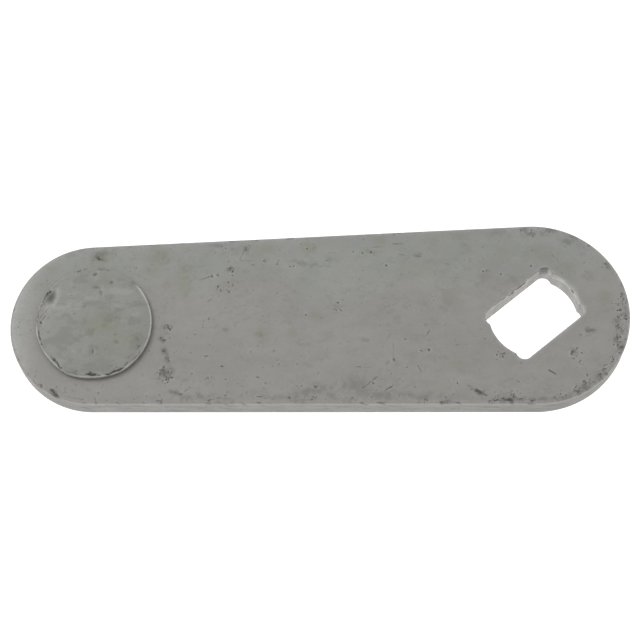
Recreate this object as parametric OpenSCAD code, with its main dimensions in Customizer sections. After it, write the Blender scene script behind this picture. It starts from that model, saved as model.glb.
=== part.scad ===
// Flat crank arm with a double-D drive hole and a riveted crank pin.
// The origin is on the drive hole's axis, in the plane of the plate's back face.
// +Z leaves the front face, where the rivet head stands; +X runs from the pin to the drive hole.

/* [Arm plate] */
// Thickness of the flat bar
plate_t = 6; // [4:0.5:10]
// Distance from the drive hole's axis to the pin's axis
centres = 93; // [70:1:140]
// Width of the drive end, which is a full round
wide_w = 40; // [34:0.5:56]
// Width of the pin end, which is a full round
narrow_w = 35.4; // [30:0.2:50]

/* [Drive hole] */
// Diameter of the round part of the double-D hole
hole_d = 19.6; // [16:0.1:22]
// Distance across the two flats
hole_af = 13.3; // [9:0.1:15]
// Angle of the flats from the arm's centre line
hole_turn = 38; // [-90:1:90]
// Radius of the relief in each corner, tangent to the flat
relief_r = 1.8; // [0.5:0.05:2.5]

/* [Crank pin] */
// Diameter of the riveted head on the front face
head_d = 24.4; // [20:0.1:28]
// Height of the riveted head above the front face
head_h = 1.2; // [0.8:0.1:2.5]
// Chamfer around the riveted head's rim
head_chamfer = 0.3; // [0.1:0.05:0.5]
// Diameter of the tenon that goes through the plate
tenon_d = 16; // [12:0.5:18]
// Diameter of the journal behind the plate
journal_d = 20; // [19:0.5:24]
// Length of the journal behind the plate
journal_l = 14; // [8:0.5:24]
// Chamfer at the journal's free end
journal_chamfer = 1; // [0.5:0.1:1.2]

/* [Retaining groove] */
// Width of the groove for a retaining ring
groove_w = 1.3; // [1:0.1:1.6]
// Depth of the groove below the journal's surface
groove_depth = 0.5; // [0.3:0.05:0.8]
// Distance from the journal's free end to the groove
groove_edge = 2.2; // [1.5:0.1:3]

/* [Hidden] */
$fn = 96;
wide_r = wide_w / 2;
narrow_r = narrow_w / 2;
// Angle between the arm's centre line and each straight side
taper = asin((wide_r - narrow_r) / centres);
hole_r = hole_d / 2;
// Half the length of each flat, and the relief centres' distance from the hole's long axis
flat_half = sqrt(hole_r * hole_r - hole_af * hole_af / 4);
relief_y = hole_af / 2 - relief_r;
// How far each cut runs past a face
through = 1;
// How far the straight sides pass inside the rounds' tangents, so that each side cuts its round
tuck = 0.01;
steel = [0.55, 0.55, 0.54];
turned_steel = [0.60, 0.60, 0.59];

// Where a straight side ends on the round of radius r centred at x; side is 1 or -1
function side_end(x, r, side) = [x - (r - tuck) * sin(taper), side * (r - tuck) * cos(taper)];

module arm_outline() {
    circle(wide_r);
    translate([-centres, 0]) circle(narrow_r);
    polygon([
        side_end(0, wide_r, 1),
        side_end(-centres, narrow_r, 1),
        side_end(-centres, narrow_r, -1),
        side_end(0, wide_r, -1)
    ]);
}

module double_d() {
    intersection() {
        circle(hole_r);
        square([hole_d + through, hole_af], center = true);
    }
    for (sx = [-1, 1], sy = [-1, 1])
        translate([sx * flat_half, sy * relief_y]) circle(relief_r, $fn = 32);
}

// Extrudes a flat shape so that it cuts right through the plate
module through_plate() {
    translate([0, 0, -through]) linear_extrude(plate_t + 2 * through) children();
}

module arm_plate() {
    color(steel) difference() {
        linear_extrude(plate_t) arm_outline();
        through_plate() rotate(hole_turn) double_d();
        through_plate() translate([-centres, 0]) circle(tenon_d / 2);
    }
}

// One turned piece: the journal behind the plate, the tenon in it and the head in front of it
module crank_pin() {
    journal_r = journal_d / 2;
    head_r = head_d / 2;
    groove_low = -journal_l + groove_edge;
    groove_high = groove_low + groove_w;
    head_top = plate_t + head_h;
    color(turned_steel) translate([-centres, 0, 0]) rotate_extrude() polygon([
        [0, -journal_l],
        [journal_r - journal_chamfer, -journal_l],
        [journal_r, -journal_l + journal_chamfer],
        [journal_r, groove_low],
        [journal_r - groove_depth, groove_low],
        [journal_r - groove_depth, groove_high],
        [journal_r, groove_high],
        [journal_r, 0],
        [tenon_d / 2, 0],
        [tenon_d / 2, plate_t],
        [head_r, plate_t],
        [head_r, head_top - head_chamfer],
        [head_r - head_chamfer, head_top],
        [0, head_top]
    ]);
}

arm_plate();
crank_pin();
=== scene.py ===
import math

import bmesh
import bpy
import numpy as np
from mathutils import Matrix, Vector
from mathutils.geometry import delaunay_2d_cdt


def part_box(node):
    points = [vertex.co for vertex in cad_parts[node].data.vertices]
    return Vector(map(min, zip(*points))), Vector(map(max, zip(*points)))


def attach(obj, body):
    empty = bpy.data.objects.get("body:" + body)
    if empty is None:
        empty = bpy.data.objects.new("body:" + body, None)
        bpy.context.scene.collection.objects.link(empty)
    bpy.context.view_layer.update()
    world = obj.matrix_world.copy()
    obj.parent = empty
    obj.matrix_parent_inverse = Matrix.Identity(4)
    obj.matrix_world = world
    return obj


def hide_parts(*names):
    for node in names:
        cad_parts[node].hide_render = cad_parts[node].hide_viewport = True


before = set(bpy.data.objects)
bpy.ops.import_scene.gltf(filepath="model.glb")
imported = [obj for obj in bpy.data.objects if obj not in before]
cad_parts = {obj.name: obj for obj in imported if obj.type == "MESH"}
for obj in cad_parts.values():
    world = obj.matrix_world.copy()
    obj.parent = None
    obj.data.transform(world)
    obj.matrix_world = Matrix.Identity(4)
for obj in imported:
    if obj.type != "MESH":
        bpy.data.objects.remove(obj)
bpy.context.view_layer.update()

# ----- Sizes, in millimetres in the row frame. Meshes are turned into metres at the end -----
MM = 0.001


def box_mm(node):
    """The lowest and highest corners of a CAD node, in millimetres."""
    low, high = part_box(node)
    return np.array(low) / MM, np.array(high) / MM


plate_low, plate_high = box_mm("arm_plate")
pin_low, pin_high = box_mm("crank_pin")
THICK = plate_high[2]
WIDE_R = plate_high[0]
PIN_X = (pin_low[0] + pin_high[0]) / 2
NARROW_R = PIN_X - plate_low[0]
HEAD_R = (pin_high[0] - pin_low[0]) / 2
HEAD_TOP = pin_high[2]
JOURNAL_END = pin_low[2]
CENTRES = -PIN_X
# The angle between the centre line and each straight side
TAPER = math.asin((WIDE_R - NARROW_R) / CENTRES)

# The double-D hole, the pin's tenon and its journal, as they are in the design
HOLE_R = 9.8
HOLE_HALF = 6.65
HOLE_TURN = math.radians(38)
RELIEF_R = 1.8
FLAT_HALF = math.sqrt(HOLE_R**2 - HOLE_HALF**2)
RELIEF_V = HOLE_HALF - RELIEF_R
TENON_R = 8.0
JOURNAL_R = 10.0
JOURNAL_CHAMFER = 1.0
GROOVE_LOW = JOURNAL_END + 2.2
GROOVE_HIGH = GROOVE_LOW + 1.3
GROOVE_DEPTH = 0.5

# Edge radii: the blanked front edge is rolled over, the back edge is nearly sharp
FRONT_ROUND = 0.52
BACK_ROUND = 0.15
HOLE_ROUND = 0.3
BORE_ROUND = 0.1
HEAD_ROUND = 0.18
# How far in, and how deep, the front face drops towards its blanked edge
ROLL_WIDTH = 2.2
ROLL_DROP = 0.14
# How far the plate's faces lie inside the design's, which leaves room for their waves
FACE_SINK = 0.03

# How fine the meshes are: columns along each part of an outline, rows down a wall, steps across a face
WIDE_COLUMNS = 210
NARROW_COLUMNS = 176
SIDE_COLUMNS = 300
HOLE_COLUMNS = 48
RELIEF_COLUMNS = 14
FLAT_COLUMNS = 52
BORE_COLUMNS = 120
PIN_COLUMNS = 420
WALL_ROWS = 12
HOLE_ROWS = 24
EDGE_ROWS = 5
BACK_EDGE_ROWS = 3
FRONT_STEP = 0.41
BACK_STEP = 0.72
HEAD_STEP = 0.23
# How wide the border of closed rows is inside the head's rim, before its triangulated face begins
HEAD_BORDER = 1.5
# How near a rim the points of a mark may lie
PLATE_GAP = 0.10
HEAD_GAP = 0.08
# Points nearer than MERGE are one point. Triangles nearer than SLIVER to a rim are flat and are left out
MERGE = 0.0005
SLIVER = 1e-6


# ----- Outlines. Each ring has the same number of columns for any inset, so rings loft into walls -----
def arc(cx, cy, r, start, end, n):
    """n points from the start angle, counter-clockwise, without the last one."""
    a = start + (end - start) * np.arange(n) / n
    return np.column_stack([cx + r * np.cos(a), cy + r * np.sin(a)])


def line(p, q, n):
    """n points from p towards q, without q."""
    t = np.arange(n)[:, None] / n
    return np.array(p) + t * (np.array(q) - np.array(p))


def arm_ring(inset):
    """The plate's outline, moved inward by inset."""
    turn = math.pi / 2 + TAPER
    wide = arc(0, 0, WIDE_R - inset, -turn, turn, WIDE_COLUMNS)
    narrow = arc(PIN_X, 0, NARROW_R - inset, turn, 2 * math.pi - turn, NARROW_COLUMNS)
    unit = np.array([math.cos(turn), math.sin(turn)])
    wide_end = (WIDE_R - inset) * unit
    narrow_end = np.array([PIN_X, 0]) + (NARROW_R - inset) * unit
    upper = line(wide_end, narrow_end, SIDE_COLUMNS)
    flip = np.array([1, -1])
    lower = line(narrow_end * flip, wide_end * flip, SIDE_COLUMNS)
    return np.vstack([wide, upper, narrow, lower])


def hole_ring(offset):
    """The double-D hole's outline with its corner reliefs, moved outward by offset."""
    big = HOLE_R + offset
    small = RELIEF_R + offset
    centre = math.hypot(FLAT_HALF, RELIEF_V)
    spread = math.acos((centre**2 + big**2 - small**2) / (2 * centre * big))
    end = math.atan2(RELIEF_V, FLAT_HALF) - spread
    start = math.atan2(big * math.sin(end) - RELIEF_V, big * math.cos(end) - FLAT_HALF)
    top = HOLE_HALF + offset
    half = np.vstack([
        arc(0, 0, big, -end, end, HOLE_COLUMNS),
        arc(FLAT_HALF, RELIEF_V, small, start, math.pi / 2, RELIEF_COLUMNS),
        line([FLAT_HALF, top], [-FLAT_HALF, top], FLAT_COLUMNS),
        arc(-FLAT_HALF, RELIEF_V, small, math.pi / 2, math.pi - start, RELIEF_COLUMNS),
    ])
    ring = np.vstack([half, -half])
    c, s = math.cos(HOLE_TURN), math.sin(HOLE_TURN)
    return ring @ np.array([[c, s], [-s, c]])


def pin_ring(r, n):
    """A circle of radius r about the pin's axis."""
    return arc(PIN_X, 0, r, 0, 2 * math.pi, n)


def bore_ring(offset):
    """The outline of the tenon's hole, moved outward by offset."""
    return pin_ring(TENON_R + offset, BORE_COLUMNS)


def turned(x, y, angle):
    """x and y measured along axes that are turned by the angle."""
    c, s = math.cos(angle), math.sin(angle)
    return x * c + y * s, y * c - x * s


def edge_distance(x, y):
    """How far a point lies inside the plate's outline."""
    u, v = x - PIN_X, np.abs(y)
    along = u * math.cos(TAPER) + v * math.sin(TAPER)
    side = NARROW_R - (v * math.cos(TAPER) - u * math.sin(TAPER))
    narrow = NARROW_R - np.hypot(u, v)
    wide = WIDE_R - np.hypot(x, y)
    return np.where(along < 0, narrow, np.where(along > CENTRES * math.cos(TAPER), wide, side))


def hole_distance(x, y):
    """How far a point lies outside the double-D hole."""
    u, v = np.abs(turned(x, y, HOLE_TURN))
    body = np.maximum(np.hypot(u, v) - HOLE_R, v - HOLE_HALF)
    return np.minimum(body, np.hypot(u - FLAT_HALF, v - RELIEF_V) - RELIEF_R)


def pin_distance(x, y):
    """Distance from the pin's axis."""
    return np.hypot(x - PIN_X, y)


# How far the riveted head is spread beyond its round, by angle in degrees from +X
HEAD_SPREAD = (
    (0, 0.15), (20, 0.08), (40, 0.12), (65, 0.12), (90, 0.2), (112, 0.15), (135, 0), (180, -0.08),
    (220, -0.1), (232, 0.05), (245, 0.28), (257, 0.16), (270, 0.06), (285, 0.16), (300, 0.34), (312, 0.28),
    (330, 0.24), (345, 0.2), (360, 0.15),
)


def by_angle(table, angle):
    """Reads a table of (degrees, value) at angles in radians."""
    degrees, values = zip(*table)
    return np.interp(np.degrees(angle) % 360, degrees, values)


def head_reach(angle):
    """The riveted head's radius at each angle."""
    return HEAD_R + by_angle(HEAD_SPREAD, angle)


# ----- Surface fields -----
def smooth(t):
    """Rises smoothly from 0 at t = 0 to 1 at t = 1, and stays level beyond."""
    t = np.clip(t, 0, 1)
    return t * t * (3 - 2 * t)


# How many random values the noise has each way before it repeats
LATTICE = 64


def noise(x, y, size, seed, octaves=4):
    """Smooth value noise of about -1 to 1, with features of the given size in millimetres.

    Every use has a seed of its own, so that no two patterns fall together.
    """
    total = np.zeros(np.broadcast(x, y).shape)
    share = 0.5
    for octave in range(octaves):
        table = np.random.default_rng(seed * 31 + octave).uniform(-1, 1, (LATTICE, LATTICE))
        u, v = x / size + 7.3 * octave, y / size + 3.1 * octave
        i, j = np.floor(u).astype(int), np.floor(v).astype(int)
        a, b = smooth(u - i), smooth(v - j)
        left, right = i % LATTICE, (i + 1) % LATTICE
        low, high = j % LATTICE, (j + 1) % LATTICE
        near = table[left, low] * (1 - a) + table[right, low] * a
        far = table[left, high] * (1 - a) + table[right, high] * a
        total += 2 * share * (near * (1 - b) + far * b)
        share *= 0.55
        size /= 2.1
    return total


def bump(t):
    """1 at t = 0, falling smoothly to 0 at t = 1 and beyond."""
    return smooth(1 - np.abs(t))


class Marks:
    """Pits and strokes pressed into a face. A pit is an ellipse, a stroke a tapered, broken groove."""

    def __init__(self):
        self.pits = []
        self.strokes = []

    def pit(self, x, y, r, depth, grime_and_shade, aspect=1.0, turn=0.0):
        """Notes a pit of mean radius r at (x, y), longer along one axis by its aspect."""
        self.pits.append((x, y, r * aspect, r / aspect, turn, depth, grime_and_shade))

    def stroke(self, x0, y0, x1, y1, width, depth, grime_and_shade):
        """Notes a stroke from (x0, y0) to (x1, y1)."""
        self.strokes.append((x0, y0, x1, y1, width, depth, grime_and_shade))

    def points(self):
        """The extra mesh points that give the marks their own crisp shape."""
        out = []
        for x, y, rx, ry, turn, _depth, _dirt in self.pits:
            out.append([(x, y)])
            for reach, n in ((0.55, 6), (1.0, 9), (1.4, 10)):
                a = 2 * math.pi * np.arange(n) / n + 0.4 * n
                u, v = rx * reach * np.cos(a), ry * reach * np.sin(a)
                c, s = math.cos(turn), math.sin(turn)
                out.append(np.column_stack([x + u * c - v * s, y + u * s + v * c]))
        for x0, y0, x1, y1, width, _depth, _dirt in self.strokes:
            length = math.hypot(x1 - x0, y1 - y0)
            n = max(3, int(length / max(0.22, 0.4 * width)))
            t = np.linspace(0, 1, n)[:, None]
            mid = np.array([x0, y0]) + t * np.array([x1 - x0, y1 - y0])
            side = np.array([y0 - y1, x1 - x0]) / length * width / 2
            out += [mid + side * k for k in (-1.5, -1, -0.45, 0.45, 1, 1.5)]
        return np.vstack(out)

    def press(self, x, y):
        """The height, grime and wear that the marks give each point, with painted highlights on their rims.
        """
        surface = np.zeros((3,) + x.shape)
        for pit in self.pits:
            self.press_pit(surface, x, y, *pit)
        for stroke in self.strokes:
            self.press_stroke(surface, x, y, *stroke)
        return surface

    def press_pit(self, surface, x, y, px, py, rx, ry, turn, depth, grime):
        """Presses one pit, whose rim carries a painted highlight on one side."""
        reach = 1.5 * max(rx, ry)
        k = np.flatnonzero((np.abs(x - px) < reach) & (np.abs(y - py) < reach))
        u, v = turned(x[k] - px, y[k] - py, turn)
        u, v = u / rx, v / ry
        q = np.hypot(u, v)
        lit = smooth(0.2 + 1.2 * u / np.maximum(q, 0.01))
        self.stamp(surface, k, q, depth, grime, lit)

    def press_stroke(self, surface, x, y, x0, y0, x1, y1, width, depth, grime):
        """Presses one stroke, which wanders a little and is dark only in places."""
        inside = (x > min(x0, x1) - width) & (x < max(x0, x1) + width)
        inside &= (y > min(y0, y1) - width) & (y < max(y0, y1) + width)
        k = np.flatnonzero(inside)
        along = np.array([x1 - x0, y1 - y0])
        u = x[k] + 0.12 * noise(x[k], y[k], 0.9, 91, 2)
        v = y[k] + 0.12 * noise(x[k], y[k], 0.9, 92, 2)
        t = ((u - x0) * along[0] + (v - y0) * along[1]) / (along @ along)
        t = np.clip(t, 0, 1)
        away = np.hypot(u - x0 - t * along[0], v - y0 - t * along[1])
        grime = grime * smooth(0.65 + 0.6 * grime + 1.1 * noise(u, v, 0.6, 93, 2))
        taper = 0.35 + 0.65 * np.sqrt(np.clip(1 - (2 * t - 1) ** 2, 0, 1))
        self.stamp(surface, k, away / (width / 2 * taper), depth, grime, 0.5)

    @staticmethod
    def stamp(surface, k, q, depth, grime, lit):
        """Presses a mark at the points k. q is the distance from it over its radius; lit sets how strong a
        painted highlight its rim gets.
        """
        height, grime_and_shade, wear_and_highlight = surface
        inner = bump(q)
        height[k] = np.minimum(height[k], -depth * inner)
        height[k] += 0.18 * depth * bump((q - 1.15) / 0.35)
        grime_and_shade[k] = np.maximum(grime_and_shade[k], grime * np.sqrt(inner))
        wear_and_highlight[k] = np.maximum(wear_and_highlight[k], 0.8 * grime * lit * bump((q - 1.2) / 0.35))


# ----- Meshes -----
def add_object(name, data):
    """A new object in the scene."""
    piece = bpy.data.objects.new(name, data)
    bpy.context.scene.collection.objects.link(piece)
    return piece


class Shell:
    """Collects points and faces, with four surface values at each point."""

    VALUES = ("grime_and_shade", "wear_and_highlight", "olive", "warm")

    def __init__(self):
        self.points = []
        self.values = []
        self.faces = []
        self.count = 0

    def add(self, points, *values):
        """Adds points with their four surface values, and gives the index of the first."""
        points = np.asarray(points, float)
        values = np.column_stack([np.broadcast_to(v, len(points)) for v in values])
        self.points.append(points)
        self.values.append(values)
        first = self.count
        self.count += len(points)
        return first

    def join(self, a, b, n):
        """Quads between two closed rows of n points each."""
        i = np.arange(n)
        k = (i + 1) % n
        self.faces += np.column_stack([a + i, a + k, b + k, b + i]).tolist()

    def rows(self, rows):
        """Adds rows, each of points and their four values, and joins them in order."""
        first = [self.add(*row) for row in rows]
        for a, b in zip(first, first[1:]):
            self.join(a, b, len(rows[0][0]))

    def sheet(self, rings, inner, keep, field):
        """A triangulated face between closed rings, through the inner points.

        keep says which places are inside it, and field gives its height and surface values there.
        """
        flat = np.vstack(rings + [inner])
        edges, start = [], 0
        for ring in rings:
            n = len(ring)
            edges += [(start + i, start + (i + 1) % n) for i in range(n)]
            start += n
        out = delaunay_2d_cdt([Vector(p) for p in flat.tolist()], edges, [], 0, 1e-5)
        xy = np.array([tuple(v) for v in out[0]])
        tris = np.array([f for f in out[2]])
        middle = xy[tris].mean(axis=1)
        tris = tris[keep(middle[:, 0], middle[:, 1])]
        z, *values = field(xy[:, 0], xy[:, 1])
        first = self.add(np.column_stack([xy, z]), *values)
        self.faces += (tris + first).tolist()

    def build(self, name, material):
        """The finished object: one closed, smoothly shaded mesh in metres."""
        mesh = bpy.data.meshes.new(name)
        mesh.from_pydata((np.vstack(self.points) * MM).tolist(), [], self.faces)
        values = np.vstack(self.values)
        for i, label in enumerate(self.VALUES):
            layer = mesh.attributes.new(label, "FLOAT", "POINT")
            layer.data.foreach_set("value", values[:, i])
        bm = bmesh.new()
        bm.from_mesh(mesh)
        bmesh.ops.remove_doubles(bm, verts=bm.verts, dist=MERGE * MM)
        bmesh.ops.delete(bm, geom=[v for v in bm.verts if not v.link_faces], context="VERTS")
        bmesh.ops.recalc_face_normals(bm, faces=bm.faces)
        bm.to_mesh(mesh)
        bm.free()
        mesh.shade_smooth()
        mesh.materials.append(material)
        return add_object(name, mesh)


def hex_grid(low, high, step):
    """A grid of points in staggered rows, shaken a little so that no pattern shows."""
    rows = np.arange(low[1], high[1], step * math.sqrt(3) / 2)
    cols = np.arange(low[0], high[0], step)
    x, y = np.meshgrid(cols, rows)
    x = x + (np.arange(len(rows)) % 2)[:, None] * step / 2
    shake = np.random.default_rng(5).uniform(-0.12, 0.12, (2,) + x.shape) * step
    return np.column_stack([(x + shake[0]).ravel(), (y + shake[1]).ravel()])


def thinned(grid, marks):
    """The grid without the points that lie in a mark, which has points of its own."""
    x, y = grid.T
    free = np.ones(len(grid), bool)
    for px, py, rx, ry, _turn, _depth, _dirt in marks.pits:
        reach = 1.45 * max(rx, ry)
        free &= (x - px) ** 2 + (y - py) ** 2 > reach**2
    return grid[free]


def rounded_edge(radius, z, down, steps):
    """(inset, height) from the face's rim round to the wall. down is 1 at the front, -1 behind."""
    angles = np.linspace(0, math.pi / 2, steps + 1)
    return [(radius * (1 - math.sin(a)), z - down * radius * (1 - math.cos(a))) for a in angles]


# ----- The arm plate -----
# Pits in clusters: (x, y, spread, how many, size), in millimetres in the row frame
PIT_CLUSTERS = (
    (-77.5, -1, 0.55, 12, 0.3), (-77, -1.8, 0.25, 5, 0.3), (-78.8, -3.5, 0.22, 5, 0.28),
    (-78, -4.1, 0.22, 5, 0.28), (-78.2, -6.4, 0.4, 5, 0.34), (-77.5, -8.2, 0.4, 5, 0.32),
    (-78.4, -10.6, 0.5, 9, 0.3), (-79, -11.5, 0.45, 6, 0.26), (-77.2, -11.5, 0.4, 7, 0.28),
    (-77.4, -12.8, 0.6, 11, 0.28), (-76.8, -12.2, 0.4, 6, 0.24), (-74.9, -16, 0.3, 5, 0.26),
    (-63.9, 11.6, 0.6, 15, 0.24), (-66.8, 10.6, 0.3, 5, 0.24), (-68.5, 10, 0.5, 5, 0.28),
    (-63.7, 10.2, 0.2, 3, 0.22), (-66.6, 7.6, 0.28, 6, 0.28), (-66.2, 6.8, 0.15, 2, 0.24),
    (-64.6, 8.8, 0.2, 3, 0.2), (-63.6, 8, 0.22, 3, 0.2), (-64.6, 6.6, 0.35, 7, 0.24),
    (-61, 16.1, 0.25, 4, 0.3), (-60, 16.8, 0.15, 2, 0.24), (-65, 16.5, 0.1, 1, 0.26),
    (-66, 17, 0.2, 3, 0.2), (-69.4, -7.8, 0.35, 8, 0.2), (-68.9, -12.8, 0.45, 6, 0.2),
    (-65.3, -12.9, 0.25, 2, 0.26), (-71.7, -2.9, 0.1, 1, 0.26), (-68.7, 0.5, 0.3, 4, 0.18),
    (-70.1, -1.1, 0.3, 3, 0.18), (-66.1, -10.1, 0.12, 2, 0.28), (-51.3, 12, 0.12, 2, 0.22),
    (-50.6, 12, 0.12, 2, 0.24), (-57, 13.3, 0.3, 3, 0.24), (-59.2, 6.8, 0.05, 1, 0.24),
    (-48.2, 1, 0.12, 2, 0.26), (-55.1, -7, 0.15, 2, 0.24), (-47.8, 16, 0.3, 3, 0.24),
    (-38, 15, 0.08, 1, 0.34), (-36, 14.6, 0.15, 2, 0.3), (-34.1, 14.8, 0.25, 3, 0.34),
    (-30.9, 11.7, 0.15, 2, 0.28), (-41.6, 3.3, 0.3, 4, 0.22), (-41.9, 2, 0.3, 4, 0.2),
    (-40.9, 1.8, 0.2, 2, 0.2), (-34.5, -14.7, 0.08, 2, 0.3), (-30.1, -9.5, 0.12, 2, 0.32),
    (-27.5, -5.1, 0.12, 1, 0.32), (-27.4, -11.3, 0.08, 1, 0.28), (-22.7, -7.6, 0.2, 3, 0.3),
    (-24.3, -7.8, 0.2, 2, 0.22), (-46.5, -15.2, 0.45, 6, 0.26), (-47.3, -17.6, 0.5, 6, 0.24),
    (-52, -17.3, 0.25, 4, 0.3), (-68.6, -17.5, 0.25, 4, 0.24), (-73, -15.2, 0.1, 1, 0.26),
    (-61.8, -14.7, 0.25, 2, 0.24), (-23.7, -18.3, 0.3, 4, 0.28), (-17, -15, 0.12, 2, 0.26),
    (-8, -9.2, 0.8, 9, 0.26), (-7.2, -8.9, 0.2, 2, 0.34), (7.2, -8.9, 0.22, 3, 0.36),
    (8.3, -8.2, 0.25, 3, 0.26), (7.6, -9.6, 1, 10, 0.26), (9, -11.2, 0.5, 4, 0.22),
    (17.9, 0.2, 0.16, 3, 0.34), (17.3, 0.2, 0.2, 2, 0.24), (19, -1, 0.16, 3, 0.34),
    (19, -1.8, 0.16, 3, 0.3), (17.5, -1.3, 0.4, 5, 0.22), (18.6, 3.8, 0.16, 3, 0.32),
    (18.9, 2.8, 0.2, 3, 0.26), (17.4, -3.5, 0.5, 7, 0.3), (17, -5.8, 0.55, 9, 0.32),
    (17.6, -8.1, 0.3, 6, 0.32), (17.1, -9.3, 0.25, 4, 0.28), (15.6, -11, 0.35, 5, 0.22),
    (13.9, -12.7, 0.3, 4, 0.28), (13.9, -13.9, 0.2, 3, 0.26), (12.6, -14.4, 0.3, 5, 0.32),
    (10, -14, 0.3, 3, 0.26), (9.4, -15.8, 0.4, 8, 0.26), (9.7, -16.8, 0.4, 6, 0.26),
    (7.8, -17.6, 0.5, 8, 0.26), (5.7, -18.8, 0.4, 6, 0.26), (3.6, -19.1, 0.5, 5, 0.24),
    (-5.6, -18.1, 0.5, 7, 0.26), (-9.4, -19, 0.7, 9, 0.26), (-1.7, -19.2, 0.4, 5, 0.26),
    (18.4, 2.2, 0.9, 12, 0.2), (18.6, -1.6, 0.9, 14, 0.2), (17.8, -4.6, 0.9, 14, 0.22),
    (17, -7.6, 0.9, 14, 0.22), (15.4, -10.9, 0.9, 12, 0.2), (13.3, -13.5, 0.9, 14, 0.22),
    (10.6, -15.6, 0.9, 14, 0.22), (7.6, -17.2, 0.8, 14, 0.22), (4, -18.4, 0.8, 10, 0.2),
    (-4, -18.7, 1.1, 12, 0.2), (-9, -18.5, 1.1, 12, 0.2), (4.7, 12.9, 0.1, 2, 0.24),
    (-0.2, 10.7, 0.12, 2, 0.26), (-6.7, 9, 0.12, 2, 0.24), (-10.5, 9.8, 0.3, 3, 0.2),
    (0.2, 18.1, 0.6, 6, 0.28), (-1.8, 18.9, 0.3, 4, 0.24), (4.5, 18.9, 0.4, 5, 0.24),
    (9, 17.3, 0.6, 6, 0.22), (15.8, 10.6, 0.5, 5, 0.24), (-92, 14.7, 0.25, 4, 0.28),
    (-103.7, -13.3, 0.2, 3, 0.26), (-108.6, -7.5, 0.15, 3, 0.28), (-95.5, -17.4, 0.6, 5, 0.2),
    (-78.8, -17.3, 0.4, 3, 0.22),
)
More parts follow.
